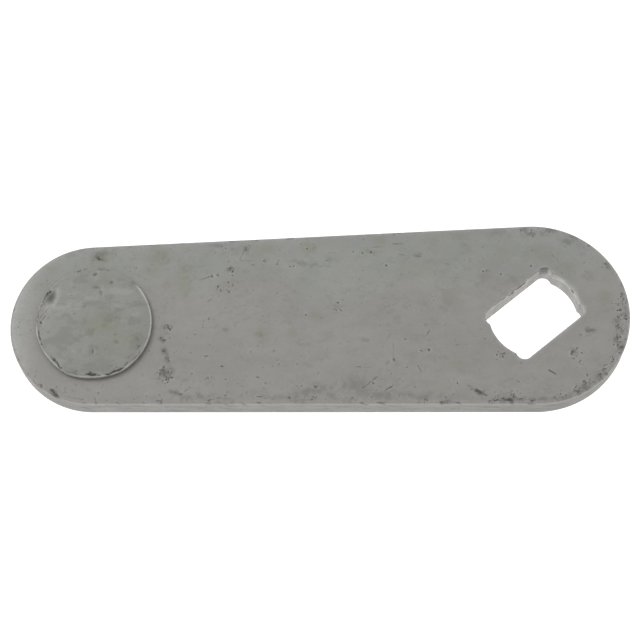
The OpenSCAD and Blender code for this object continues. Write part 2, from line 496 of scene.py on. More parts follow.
# Gouges and scratches: (x, y) of both ends, then width, depth and how dark
GOUGES = (
    (-14.1, -16.3, -11, -17.9, 0.9, 0.16, 0.92), (-13.6, -16.9, -12, -17.7, 1.2, 0.14, 0.8),
    (-15, -15.5, -13.2, -16.4, 0.4, 0.05, 0.45), (-7.9, -18.6, -5.5, -19.2, 1.05, 0.22, 1),
    (-10.9, -19.1, -8.6, -18.9, 0.5, 0.12, 0.9), (-8.4, -17.9, -6.6, -17.4, 0.28, 0.06, 0.45),
    (-6.4, -17.4, -5.3, -18.2, 0.36, 0.08, 0.6), (-2.3, -19.4, -1.2, -19.2, 0.36, 0.1, 0.85),
    (1.9, -12.5, 3.3, -13.6, 0.52, 0.12, 0.95), (-4.8, -14.8, -4.1, -15.2, 0.28, 0.06, 0.75),
    (10.3, -4.1, 12.4, -4.2, 0.85, 0.07, 0.62), (10.2, -5.3, 11.6, -5.4, 0.42, 0.06, 0.45),
    (-36.9, -15.8, -33.4, -13.1, 0.32, 0.07, 0.72), (-32.9, -17.2, -28.7, -13.6, 0.26, 0.05, 0.45),
    (-32, -16.5, -30.6, -15.3, 0.42, 0.09, 0.85), (-37.9, -11, -36.9, -11.1, 0.34, 0.07, 0.8),
    (-37.6, -11.1, -34.6, -11.2, 0.26, 0.04, 0.4), (-22.2, -3.2, -23, -4.6, 0.42, 0.07, 0.55),
    (-30, -5.6, -30.1, -9.9, 0.5, 0.03, 0.3), (-25.2, -10.9, -24.4, -12.4, 0.36, 0.07, 0.62),
    (-26.6, -9, -26.3, -9.9, 0.26, 0.03, 0.3), (-30.5, -3.7, -31.3, -5.2, 0.42, 0.04, 0.28),
    (-38.2, -0.2, -38.2, -1.9, 0.24, 0.03, 0.32), (-36, 4, -36.7, 2.9, 0.26, 0.03, 0.3),
    (-33.6, 1.1, -30.6, 2.4, 0.2, 0.03, 0.26), (-29, 0, -28.9, -2.8, 0.2, 0.02, 0.16),
    (-20.9, -19, -19.3, -19, 0.42, 0.12, 0.9), (-28.3, 14.1, -27.1, 14, 0.34, 0.06, 0.7),
    (-25.1, 13.7, -23.5, 13.5, 0.34, 0.06, 0.62), (-34.9, 15.8, -31.4, 16, 0.4, 0.03, 0.38),
    (-29.6, 16.5, -27, 16.6, 0.46, 0.04, 0.5), (-43.9, 12.9, -42.5, 13.5, 0.34, 0.05, 0.5),
    (-43.2, 14.8, -41.4, 14.8, 0.18, 0.03, 0.36), (-46.2, 12, -42.4, 11.6, 0.34, 0.03, 0.3),
    (-21, 5.5, -18.9, 5.8, 0.2, 0.03, 0.3), (-18.5, 11.8, -17.4, 11.7, 0.22, 0.04, 0.4),
    (-18.3, 15.7, -17.6, 15.8, 0.24, 0.04, 0.45), (-62.3, 13.7, -60.9, 16.1, 0.36, 0.06, 0.62),
    (-62.3, 13.5, -59.3, 13.6, 0.26, 0.04, 0.42), (-69, 4.4, -68.1, 5.1, 0.32, 0.06, 0.6),
    (-70.8, 9.3, -68.3, 10.1, 0.38, 0.05, 0.46), (-54.7, 12.2, -53.6, 13.5, 0.2, 0.05, 0.5),
    (-51.6, 13.3, -51, 12.6, 0.24, 0.04, 0.45), (-59, -12.5, -58.2, -12.8, 0.36, 0.09, 0.9),
    (-57.8, -14, -56.7, -16.2, 0.22, 0.04, 0.36), (-62.4, 3.2, -60.3, 3.3, 0.22, 0.03, 0.3),
    (-59.2, 3.2, -57.9, 3.2, 0.22, 0.03, 0.26), (-66.9, -2.9, -66.7, -4.1, 0.18, 0.03, 0.26),
    (-67.8, -5.8, -67.8, -6.9, 0.16, 0.03, 0.3), (-71.8, -12.4, -71.9, -13.8, 0.2, 0.03, 0.32),
    (-58.7, -17, -57.6, -17.1, 0.34, 0.08, 0.8), (-57.6, -17.2, -55.6, -17.5, 0.24, 0.05, 0.55),
    (-53.2, -17.2, -50, -17.4, 0.26, 0.05, 0.5), (-69.8, -17.4, -64, -17.1, 0.24, 0.04, 0.45),
    (-77.2, -15.2, -74.6, -16.1, 0.4, 0.05, 0.5), (-80, -17.4, -78.5, -17.3, 0.26, 0.06, 0.7),
    (-50.6, -14.8, -49.8, -15, 0.24, 0.05, 0.55), (-46.7, -14.4, -46.3, -15.9, 0.4, 0.06, 0.5),
    (-101.8, -14.2, -100.8, -14.9, 0.9, 0.18, 1), (-101, -14.9, -100.2, -15.7, 0.66, 0.14, 0.95),
    (-103.9, -13, -103.4, -13.5, 0.3, 0.08, 0.7), (-92.6, -16.4, -92, -17.3, 0.3, 0.08, 0.6),
    (-90.4, -16.9, -89.6, -17, 0.22, 0.05, 0.5), (-84.3, -16.6, -84.8, -17.3, 0.22, 0.04, 0.4),
    (-99, -15.6, -95, -16.8, 0.26, 0.04, 0.3),
)
# Soft dark patches: (x, y, half length, half height, turn in degrees, how dark)
SMUDGES = (
    (-77.6, -1.2, 1, 1.2, -40, 0.5), (-78.4, -3.8, 0.9, 0.7, -30, 0.5), (-78.2, -6.5, 0.7, 0.8, 0, 0.5),
    (-77.6, -8.2, 0.7, 0.7, 0, 0.5), (-77.9, -11.7, 1.6, 1.7, -40, 0.6), (-19.9, -18.9, 1, 0.4, 0, 0.5),
    (-6.8, -18.9, 1.7, 0.7, 0, 0.55), (-12.8, -17.1, 1.9, 0.7, -28, 0.42), (18.9, -0.9, 0.5, 1.3, 0, 0.6),
    (18.5, 3.4, 0.4, 1, 0, 0.5), (17.7, -8.4, 0.5, 1.4, -15, 0.5), (-75.6, -15.7, 1.8, 0.5, -18, 0.4),
    (-73.3, -12.9, 0.9, 0.4, 5, 0.3), (-64, 11.6, 0.9, 0.6, 0, 0.35), (-61, 16.2, 0.8, 0.6, 20, 0.45),
    (-62.8, 16.2, 1.6, 0.7, 0, 0.22), (-66, 17.3, 2.4, 0.35, 0, 0.3), (-68.9, 15.4, 1.5, 1, 0, 0.1),
    (-56.9, 13.4, 0.8, 0.4, 10, 0.35), (-47.5, 12.4, 4, 0.7, -8, 0.26), (-58.2, -3.4, 0.9, 0.6, 0, 0.22),
    (-65.1, -1.9, 0.6, 0.4, 0, 0.3), (-66.1, -10.1, 0.5, 0.4, 0, 0.3), (-55, -7, 0.4, 0.4, 0, 0.3),
    (-48, -16, 5, 1.1, 12, 0.32), (-38, -15, 4.6, 2.2, 8, 0.27), (-33, -17.4, 3.5, 1.1, 0, 0.28),
    (-36, -5.1, 1.3, 0.5, 0, 0.22), (-31.2, -10.1, 0.8, 0.4, 10, 0.26), (-30.1, -9.4, 0.45, 0.7, 0, 0.6),
    (-41.7, 2.6, 1, 1.2, 0, 0.18), (-29, 3.8, 0.8, 0.6, 0, 0.16), (-23, 3.2, 1.6, 1.2, 0, 0.1),
    (-17.8, 3.2, 2.4, 2.2, 0, 0.14), (-24, 13.8, 1, 0.6, 0, 0.3), (-34, 14.9, 0.8, 0.5, 0, 0.3),
    (-42.6, 13.4, 1.4, 0.7, 0, 0.25), (-4.2, 8, 1.5, 1.3, 0, 0.2), (11.6, 8, 1.3, 1.2, 0, 0.16),
    (0.2, 18.1, 2.4, 0.7, 0, 0.42), (-1.6, 19, 1.4, 0.4, 0, 0.4), (4.6, 18.7, 1.4, 0.4, -8, 0.45),
    (-6.5, 18.2, 3.4, 1, 0, 0.16), (8.2, 16.1, 1.2, 0.8, 0, 0.34), (9.5, 17.1, 2.4, 0.5, -28, 0.32),
    (15.8, 10.4, 1.6, 0.8, -52, 0.32), (17.2, -2.8, 0.9, 2.2, 0, 0.42), (16.9, -6, 0.9, 2.6, 0, 0.48),
    (12.7, -14.2, 1.3, 0.9, 40, 0.46), (9.3, -16.3, 1.3, 1, 30, 0.46), (7.7, -17.7, 1.6, 0.6, 15, 0.34),
    (4.8, -18.8, 2.4, 0.5, 6, 0.36), (-3.8, -19, 6.5, 0.5, 0, 0.4), (7.4, -8.8, 0.9, 0.8, 0, 0.34),
    (11.4, -4.2, 1.4, 0.6, 0, 0.34), (-7.6, -9.1, 1, 0.7, 0, 0.26), (-92.3, 14.8, 0.7, 0.5, 0, 0.75),
    (-92.2, 15.5, 2.8, 1.3, 0, 0.3), (-91.8, 16.1, 2.6, 0.3, 4, 0.22), (-101, -14.9, 1.1, 0.6, -40, 0.5),
    (-78, 3.2, 0.4, 1.2, 0, 0.16),
)
# Olive patches, and patches of warm brown: (x, y, half length, half height, strength)
OLIVES = (
    (-92.2, 15.3, 3.2, 1.5, 1), (-91.5, 13.6, 1.4, 0.9, 0.8), (-79.5, 15, 3, 2.6, 0.85),
    (-80.5, 11.5, 2.6, 2, 0.6), (-74.2, 9.5, 2, 5, 0.7), (-102.5, 12.5, 1.8, 1.8, 0.6),
    (-104, 9, 1.6, 1.5, 0.4), (-108.7, 1.6, 1, 2, 0.6), (-69, 14.2, 1.6, 1.2, 0.4),
    (-64.3, 8.4, 1.2, 1, 0.6), (-61.4, 16.9, 1.2, 0.5, 0.7), (-57, 16.2, 2.8, 1.8, 0.8),
    (-47.5, 16.2, 2.4, 1.8, 0.8), (-55.5, 9, 5, 1.6, 0.35), (-57.8, -2.6, 1.6, 2, 0.75),
    (-51.3, -2.8, 1.3, 1.2, 0.6), (-46.2, 0.6, 1.6, 1.6, 0.6), (-45.5, -8.5, 2.2, 6, 0.28),
    (-31.9, 17.4, 1.7, 1.2, 0.8), (-35.8, 14.8, 1.4, 1, 0.8), (-28, 11, 9, 4, 0.42),
    (-17.8, 3.5, 3, 4, 0.42), (-15.5, 18, 1.4, 1, 0.7), (-20.2, 17.8, 1.6, 1.4, 0.5),
    (-17, -11, 2.4, 2, 0.55), (-23.8, -17.4, 1.2, 1.2, 0.75), (-10, 8.6, 1.8, 1.6, 0.5),
    (-6, 14.5, 3, 2.4, 0.55), (2, 13.2, 2.6, 2, 0.65), (7.6, 10.2, 2.6, 1.6, 0.7),
    (14.9, 3.4, 1.8, 2.4, 0.65), (4.2, -13.6, 1.4, 1.4, 0.35), (-19, -16, 5, 2, 0.3),
)
BROWNS = (
    (-77.6, 8.6, 1.8, 1.8, 1), (-78, -5, 1.4, 9, 0.55), (-53, 8.4, 2.4, 0.9, 0.6), (-15, 9, 1.2, 0.9, 0.8),
    (-4.2, 7.8, 1.6, 1.3, 0.5), (11.6, 8, 1.4, 1.2, 0.45),
)


def add_clusters(marks, clusters, rng):
    """Pits strewn about the middle of each cluster, each a little larger or smaller than its size."""
    for cx, cy, spread, count, size in clusters:
        for _ in range(count):
            x, y = rng.normal(cx, spread * 0.6), rng.normal(cy, spread * 0.6)
            r = size * rng.uniform(0.6, 1.2)
            grime_and_shade = rng.uniform(0.55, 1.0)
            marks.pit(x, y, r, 0.30 * r, grime_and_shade, rng.uniform(1, 1.35), rng.uniform(0, 6.2))


def add_scatter(marks, rng, count, size):
    """Pits scattered over the whole face, thickest along the lower edge and round the wide end."""
    placed = 0
    while placed < count:
        x = rng.uniform(PIN_X - NARROW_R, WIDE_R)
        y = rng.uniform(-WIDE_R, WIDE_R)
        gap = float(edge_distance(x, y))
        rim = math.exp(-max(gap, 0) / 1.3) * (1.0 if y < 0 or x > 8 else 0.25)
        if gap > 0.2 and rng.uniform() < 0.04 + rim:
            r = size * rng.uniform(0.45, 1.3) ** 2
            grime_and_shade = rng.uniform(0.2, 0.8) * (0.6 + 0.6 * rim)
            marks.pit(x, y, r, 0.16 * r, grime_and_shade, rng.uniform(1, 1.6), rng.uniform(0, 3.1))
            placed += 1


def add_scratches(marks, rng, count, width, depth, grime_and_shade):
    """Short fine scratches in every direction."""
    for _ in range(count):
        x, y = rng.uniform(PIN_X - 12, WIDE_R - 4), rng.uniform(-16, 16)
        a, reach = rng.uniform(0, math.pi), rng.uniform(0.8, 3.2)
        dx, dy = reach * math.cos(a), reach * math.sin(a)
        marks.stroke(x, y, x + dx, y + dy, width, depth, grime_and_shade)


def front_marks():
    """The front face's marks: those given one by one, then fine random ones between them."""
    rng = np.random.default_rng(11)
    marks = Marks()
    add_clusters(marks, PIT_CLUSTERS, rng)
    for gouge in GOUGES:
        marks.stroke(*gouge)
    add_scatter(marks, rng, count=300, size=0.22)
    add_scratches(marks, rng, count=70, width=0.16, depth=0.012, grime_and_shade=0.16)
    return marks


def back_marks():
    """The back face's marks, which are all random."""
    rng = np.random.default_rng(23)
    marks = Marks()
    add_scatter(marks, rng, count=170, size=0.32)
    add_scratches(marks, rng, count=26, width=0.30, depth=0.03, grime_and_shade=0.4)
    return marks


def patches(x, y, shapes, seed, ragged):
    """The strength at each point of soft patches (x, y, half length, half height, strength)."""
    total = np.zeros(x.shape)
    wander = ragged * noise(x, y, 1.6, seed, 3)
    for px, py, length, height, strength in shapes:
        q = np.hypot((x - px) / length, (y - py) / height)
        total = np.maximum(total, strength * bump(np.maximum(q / 1.5 + wander, 0)))
    return total


def smudge_field(x, y):
    """Soft grime: the smudges, a broken line inside the lower edge, and flecks drawn out in x."""
    total = np.zeros(x.shape)
    wander = 0.45 * noise(x, y, 0.9, 33, 3)
    for px, py, length, height, turn, strength in SMUDGES:
        u, v = turned(x - px, y - py, math.radians(turn))
        q = np.hypot(u / length, v / height)
        total = np.maximum(total, strength * bump(np.maximum(q / 1.4 + wander, 0)))
    gap = edge_distance(x, y)
    low = smooth(-y / 8) * bump((gap - 1.4 - 0.9 * noise(x, 0 * y, 5.0, 34, 3)) / 1.3)
    low = low * smooth((x + 84) / 8) * smooth((-14 - x) / 10)
    total = np.maximum(total, 0.28 * low * smooth(0.35 + 1.3 * noise(x, y, 1.2, 35, 4)))
    flecks = smooth(2.2 * noise(x / 1.7, y, 0.7, 36, 3) - 0.9)
    return np.maximum(total, 0.11 * (flecks * smooth(0.5 + 1.3 * noise(x, y, 6.0, 37, 2))))


def face_relief(x, y, seed):
    """A rolled plate's slow waves and shallow dents, and the drop towards the blanked edge."""
    waves = 0.030 * noise(x, y, 30.0, seed, 2) + 0.005 * noise(x / 1.8, y, 2.2, seed + 1, 3)
    dents = -0.010 * smooth(noise(x, y, 5.5, seed + 2, 2) * 2.2 - 0.9)
    roll = -ROLL_DROP * np.clip(1 - edge_distance(x, y) / ROLL_WIDTH, 0, 1) ** 2
    return waves + dents + roll


def plate_front(marks):
    """The front face's height and four surface values at each point."""
    def field(x, y):
        height, grime_and_shade, wear_and_highlight = marks.press(x, y)
        gap = np.minimum(edge_distance(x, y), hole_distance(x, y))
        z = THICK - FACE_SINK + face_relief(x, y, 3) + height
        # Painted shadow of the pin's head: the face just outside its rim is darkened, most towards the
        # lower right.
        angle = np.arctan2(y, x - PIN_X)
        shade = pin_distance(x, y) - head_reach(angle)
        side = smooth(0.45 + 0.75 * np.cos(angle + 0.6))
        grime_and_shade = np.maximum(grime_and_shade, 0.24 * bump(np.maximum(shade - 0.05, 0) / 0.45) * side)
        grime_and_shade = np.maximum(grime_and_shade, smudge_field(x, y))
        # Painted highlight along the face's outline, broken up by noise, and round the drive hole.
        rim = 0.52 * bump(gap) * smooth(0.4 + 1.1 * noise(x, y, 1.3, 41, 3))
        rim = np.maximum(rim, 0.26 * bump(hole_distance(x, y) / 0.8))
        # Painted light: the tip of the narrow end is lightened towards the left, and its warm tint fades
        # there.
        left = smooth((PIN_X - 10.5 - x) / 6.5)
        wear_and_highlight = np.maximum(wear_and_highlight, np.maximum(rim, 0.42 * left))
        olive = patches(x, y, OLIVES, 17, 0.22)
        warm = smooth(0.55 - (y - 6) / 9 + 0.5 * noise(x, y, 9.0, 43, 2))
        warm = np.maximum(0.6 * warm * (1 - 0.8 * left), patches(x, y, BROWNS, 18, 0.22))
        return z, grime_and_shade, wear_and_highlight, olive, warm
    return field


def plate_back(marks):
    """The back face's height and four surface values at each point."""
    def field(x, y):
        height, grime_and_shade, wear_and_highlight = marks.press(x, y)
        z = FACE_SINK - 0.4 * face_relief(x, y, 9) * smooth(edge_distance(x, y) / 2) - height
        gap = np.minimum(edge_distance(x, y), hole_distance(x, y))
        wear_and_highlight = np.maximum(wear_and_highlight, 0.4 * bump(gap / 0.9))
        stain = 0.16 * smooth(0.2 + 0.9 * noise(x, y, 7.0, 46, 4))
        stain = stain * smooth(0.5 + 1.2 * noise(x, y, 1.3, 49, 3))
        flecks = 0.12 * smooth(2.4 * noise(x / 1.6, y, 0.6, 47, 3) - 1.0)
        grime_and_shade = np.maximum(grime_and_shade, np.maximum(stain, flecks))
        olive = 0.5 * smooth(1.4 * noise(x, y, 9.0, 29) - 0.1)
        return z, grime_and_shade, wear_and_highlight, olive, 0.5 + 0.4 * noise(x, y, 18.0, 48, 2)
    return field


def wall_rows(ring, front, back, front_round, back_round, texture, steps=WALL_ROWS):
    """Rows of points down a cut wall: round the front edge, down the wall, round the back edge."""
    top, bottom = THICK - front_round, back_round
    profile = rounded_edge(front_round, THICK, 1, EDGE_ROWS)
    profile += [(0.0, top + (bottom - top) * t) for t in np.linspace(0, 1, steps + 1)[1:-1]]
    profile += rounded_edge(back_round, 0.0, -1, BACK_EDGE_ROWS)[::-1]
    start, end = ring(front_round), ring(back_round)
    z_front, *at_front = front(*start.T)
    z_back, *at_back = back(*end.T)
    rows = [(np.column_stack([start, z_front]), *at_front)]
    for inset, level in profile[1:-1]:
        base = ring(inset)
        outward = (base - ring(inset + 0.01)) / 0.01
        share = level / THICK
        sink, grime_and_shade, wear_and_highlight = texture(base[:, 0], base[:, 1], level)
        held = smooth(min(share, 1 - share) * 8)
        xy = base - outward * (sink * held)[:, None]
        z = level + (z_front - THICK) * share**2 + z_back * (1 - share) ** 2
        near = smooth((level - THICK + 0.5) / 0.4)
        grime_and_shade = np.maximum(grime_and_shade, 0.8 * near * at_front[0])
        rows.append((np.column_stack([xy, z]), grime_and_shade, wear_and_highlight, 0.4 * at_front[2], 0.4))
    return rows + [(np.column_stack([end, z_back]), *at_back)]


def blanked_wall(x, y, z):
    """A sheared edge: smooth and striped near the front, torn and rough towards the back."""
    u, v = x / 2 + 1.3 * z, y / 2 - 1.7 * z
    torn = smooth((0.55 * THICK - z + 0.5 * noise(x, y, 5.0, 51, 2)) / 0.5)
    stripes = 0.010 * noise(x, y, 0.9, 52, 2)
    rough = 0.07 * np.abs(noise(u, v, 1.2, 53, 3)) * torn
    chips = smooth(noise(u, v, 0.9, 54, 3) * 3 - 2.1)
    sink = stripes + rough + 0.06 * chips - 0.05 - 0.03 * torn
    below = smooth((THICK - 0.25 - z) / 0.5)
    lower_right = smooth((x + 20) / 15) * smooth((4 - y) / 8)
    grime_and_shade = (0.38 + 0.08 * lower_right + 0.10 * noise(u, v, 1.3, 56, 4)) * below
    grime_and_shade = np.maximum(grime_and_shade, 0.60 * chips)
    wear_and_highlight = np.clip(0.16 * noise(u, v, 0.8, 55, 3), 0, 1)
    return sink, grime_and_shade, wear_and_highlight


# Torn places on the drive hole's two upper walls: (x, y, z, reach along, reach down)
HOLE_TEARS = (
    (-2.9, 6.2, 5.1, 1.5, 0.9), (-2, 6.9, 5.2, 1, 0.7), (-4.4, 5, 5, 0.6, 0.8), (-5, 4.5, 4.9, 0.5, 0.7),
    (-6.3, 3.5, 5.4, 1, 0.5), (8.3, 5.1, 4.8, 0.8, 0.5), (9.4, 1.9, 4.2, 0.8, 0.5),
)
# The top of the relief in the hole's upper corner, which is painted darker than the rest, as shade
HOLE_CORNER = (
    FLAT_HALF * math.cos(HOLE_TURN) - RELIEF_V * math.sin(HOLE_TURN) - 0.1,
    FLAT_HALF * math.sin(HOLE_TURN) + RELIEF_V * math.cos(HOLE_TURN) + RELIEF_R,
)


def hole_wall(x, y, z):
    """The punched hole's wall: upright ridges, with a few torn places."""
    ridges = 0.05 * smooth(noise(x, y, 2.2, 61, 2) * 1.6)
    shelf = 0.72 * THICK + 0.9 * noise(x, y, 4.0, 62, 2)
    torn = smooth((shelf - z) / 0.5)
    sink = 0.01 + ridges + 0.07 * torn + 0.05 * noise(x + z, y - z, 1.2, 64, 3)
    # Painted shade in the relief at the hole's upper corner, which also takes away the wall's lighter tone
    # there.
    corner_shade = bump(np.hypot(x - HOLE_CORNER[0], y - HOLE_CORNER[1]) / 1.5)
    corner_shade = smooth(1.5 * corner_shade) * smooth((z - 0.8) / 3.5)
    grime_and_shade = np.maximum(0.14 * torn, 0.55 * corner_shade)
    for tx, ty, tz, reach, drop in HOLE_TEARS:
        hit = smooth(1.8 * bump(np.hypot(np.hypot(x - tx, y - ty) / reach, (z - tz) / drop)))
        sink = sink + 0.12 * hit
        grime_and_shade = np.maximum(grime_and_shade, hit)
    # Painted highlights: a bright line along the crest of the torn shelf, and a lighter tone on the walls
    # at the hole's right side.
    crest = bump((z - shelf) / 0.35)
    facing = smooth((x - 2.0) / 1.5)
    wear_and_highlight = 0.20 + 0.22 * facing + 0.8 * crest + 0.3 * noise(x, y, 1.1, 63, 2)
    return sink, grime_and_shade, np.clip(wear_and_highlight, 0, 1) * (1 - corner_shade)


def plain_wall(x, y, z):
    """The tenon's hole, which the pin fills: clean and smooth."""
    return np.zeros((3,) + x.shape)


def add_face(shell, field, marks, outer, inner, step):
    """A face of the plate, which ends where the rounded edges of its outline and its holes begin."""
    def keep(x, y, gap=SLIVER):
        near = np.minimum(edge_distance(x, y) - outer, hole_distance(x, y) - inner)
        return np.minimum(near, pin_distance(x, y) - TENON_R - BORE_ROUND) > gap

    grid = thinned(hex_grid(plate_low, plate_high, step), marks)
    points = np.vstack([grid[keep(*grid.T, gap=0.45 * step)], marks.points()])
    points = points[keep(*points.T, gap=PLATE_GAP)]
    shell.sheet([arm_ring(outer), hole_ring(inner), bore_ring(BORE_ROUND)], points, keep, field)


def build_plate(material):
    """The plate: two faces, and the walls of its outline, its drive hole and its bore."""
    shell = Shell()
    on_front, on_back = front_marks(), back_marks()
    front, back = plate_front(on_front), plate_back(on_back)
    add_face(shell, front, on_front, FRONT_ROUND, HOLE_ROUND, FRONT_STEP)
    add_face(shell, back, on_back, BACK_ROUND, BACK_ROUND, BACK_STEP)
    shell.rows(wall_rows(arm_ring, front, back, FRONT_ROUND, BACK_ROUND, blanked_wall))
    shell.rows(wall_rows(hole_ring, front, back, HOLE_ROUND, BACK_ROUND, hole_wall, HOLE_ROWS))
    shell.rows(wall_rows(bore_ring, front, back, BORE_ROUND, BORE_ROUND, plain_wall))
    return shell.build("arm_plate_steel", material)


# ----- The crank pin -----
# Crevices just inside the head's rim, painted dark as shade: (start angle, end angle, how far in, width,
# depth, how dark)
CREVICES = (
    (160, 183, 0.34, 0.2, 0.1, 0.55), (184, 206, 0.48, 0.24, 0.12, 0.75), (222, 237, 0.62, 0.28, 0.2, 0.85),
    (230, 247, 0.1, 0.22, 0.1, 0.7), (236, 264, 0.5, 0.18, 0.08, 0.45), (247, 258, 0.95, 0.3, 0.14, 0.55),
    (261, 281, 0.72, 0.38, 0.26, 1), (266, 272, 0.95, 0.32, 0.2, 0.8), (283, 305, 0.52, 0.34, 0.26, 1),
    (305, 334, 0.42, 0.16, 0.08, 0.42), (303, 312, 0.85, 0.26, 0.12, 0.55), (326, 340, 1.1, 0.3, 0.1, 0.4),
    (137, 149, 0.42, 0.34, 0.26, 1), (149, 160, 0.26, 0.16, 0.12, 0.85), (58, 90, 0.06, 0.18, 0.08, 0.55),
    (70, 86, 0.34, 0.24, 0.1, 0.45), (88, 122, 0.1, 0.22, 0.1, 0.75), (120, 137, 0.06, 0.18, 0.08, 0.45),
    (40, 52, 0.3, 0.6, 0.06, 0.3),
)
# How strong the head's raised lip and its painted highlight are, and how wide the lip is, by angle in
# degrees from +X
LIP = (
    (0, 0.9), (24, 1), (39, 1), (43, 0.1), (60, 0), (72, 0.25), (80, 0.1), (118, 0.1), (124, 0.7),
    (129, 0.2), (134, 0.8), (139, 0.2), (146, 0.7), (168, 0.6), (176, 1), (205, 1), (232, 1), (240, 0.5),
    (252, 0.6), (262, 0.8), (278, 1), (300, 0.9), (335, 1), (360, 0.9),
)
LIP_WIDTH = (
    (0, 0.17), (20, 0.2), (30, 0.42), (37, 0.36), (44, 0.15), (120, 0.22), (140, 0.32), (180, 0.36),
    (215, 0.36), (250, 0.28), (300, 0.2), (318, 0.2), (345, 0.15), (360, 0.17),
)
# Dents and smears on the head: place from its axis, half length, half height, turn, depth, dirt
HEAD_DENTS = (
    (-10.1, 6.6, 0.6, 1.4, -38, 0.16, 1), (-9.1, 5.9, 1.3, 1.9, -20, 0.12, 0.72),
    (-10.3, 4.6, 0.7, 0.8, 10, 0.08, 0.26), (0.2, 10.8, 0.8, 0.4, 40, 0.06, 0.6),
    (-0.7, 9.9, 0.5, 0.3, 20, 0.04, 0.22), (3.7, 8.9, 0.65, 0.5, 30, 0.05, 0.5),
    (0.5, 7.9, 1.2, 0.5, -10, 0.05, 0.42), (1.5, 6.6, 0.45, 0.9, 15, 0.05, 0.46),
    (-4.2, 8.1, 0.5, 0.3, 10, 0.03, 0.2), (-1.9, 3.7, 0.4, 0.5, 0, 0.04, 0.28),
    (-4, 3.5, 0.9, 0.25, 0, 0.03, 0.2), (3.6, 2.8, 0.2, 0.5, 0, 0.04, 0.3),
    (3.7, 0.2, 0.7, 0.5, 0, 0.03, 0.22), (0.1, -6.5, 0.22, 0.6, -8, 0.09, 0.8),
    (5.1, 0.9, 0.2, 0.5, 10, 0.04, 0.4), (5.6, 0.7, 0.2, 0.6, 0, 0.05, 0.35),
    (-4.9, -1.4, 1.1, 0.7, 0, 0.02, 0.13), (-2.4, -3.1, 0.9, 0.25, -28, 0.04, 0.2),
    (5, -4.5, 0.9, 0.5, -20, 0.04, 0.26), (9.5, -4, 0.35, 0.8, 20, 0.06, 0.45),
    (9.6, -5.6, 0.5, 0.5, 0, 0.06, 0.5), (7.7, -8, 0.4, 0.3, 0, 0.05, 0.45),
    (3.9, -9.8, 0.6, 0.35, 0, 0.05, 0.3), (-5.8, -7.9, 0.2, 0.4, 0, 0.03, 0.2),
    (-11, 0.2, 0.35, 0.5, 30, 0.1, 0.9),
)
# Creases on the head: both ends from its axis, then width, depth and dirt
HEAD_CREASES = (
    (-11.5, 1, -9.2, 3.6, 0.4, 0.09, 0.4), (-11.2, 0.4, -9.9, 1.9, 0.3, 0.07, 0.5),
    (-11.6, -0.9, -10.9, -0.6, 0.22, 0.06, 0.6), (-8.6, 4.5, -4.2, 4, 0.26, 0.03, 0.18),
    (-7, 5.6, -3.4, 5.3, 0.3, 0.03, 0.16),
)
# Olive patches on the head, in the row frame: (x, y, half length, half height, strength)
HEAD_OLIVES = (
    (-91.3, -0.8, 5.6, 3, 1), (-86.5, -3.6, 5, 2.4, 0.8), (-88.4, -6.2, 6, 1.6, 0.55),
    (-90, 9.6, 7, 2.2, 0.45), (-93.5, 11.2, 2.4, 1, 0.4),
)


def head_marks():
    """The riveted head's dents and creases, and small random pits between them."""
    rng = np.random.default_rng(7)
    marks = Marks()
    for x, y, half_length, half_height, turn, depth, grime_and_shade in HEAD_DENTS:
        r = math.sqrt(half_length * half_height)
        marks.pit(PIN_X + x, y, r, depth, grime_and_shade, half_length / r, math.radians(turn))
    for x0, y0, x1, y1, width, depth, grime_and_shade in HEAD_CREASES:
        marks.stroke(PIN_X + x0, y0, PIN_X + x1, y1, width, depth, grime_and_shade)
    for _ in range(60):
        a, r = rng.uniform(0, 2 * math.pi), (HEAD_R - 1.4) * math.sqrt(rng.uniform())
        size = rng.uniform(0.08, 0.22)
        marks.pit(PIN_X + r * math.cos(a), r * math.sin(a), size, 0.2 * size, rng.uniform(0.1, 0.5))
    return marks


def cut_crevices(z, grime_and_shade, wear_and_highlight, u, v, inside):
    """Cuts the crevices at the places (u, v) from the pin's axis, which lie inside the rim by inside, and
    paints them dark as shade.
    """
    degrees = np.degrees(np.arctan2(v, u))
    ragged = 0.9 * noise(u, v, 0.8, 75, 3)
    wander = 0.22 * noise(u, v, 1.1, 74, 3)
    for start, end, inset, width, depth, dark in CREVICES:
        middle, half = (start + end) / 2, (end - start) / 2
        off = np.abs((degrees - middle + 180) % 360 - 180)
        along = smooth((half - off) / (0.6 * half) + ragged - 0.2)
        across = bump((inside - inset - wander) / (width * (0.4 + 0.6 * along)))
        z = z - depth * across * along
        grime_and_shade = np.maximum(grime_and_shade, dark * across * along)
        wear_and_highlight = wear_and_highlight * (1 - 0.9 * across * along)
    return z, grime_and_shade, wear_and_highlight


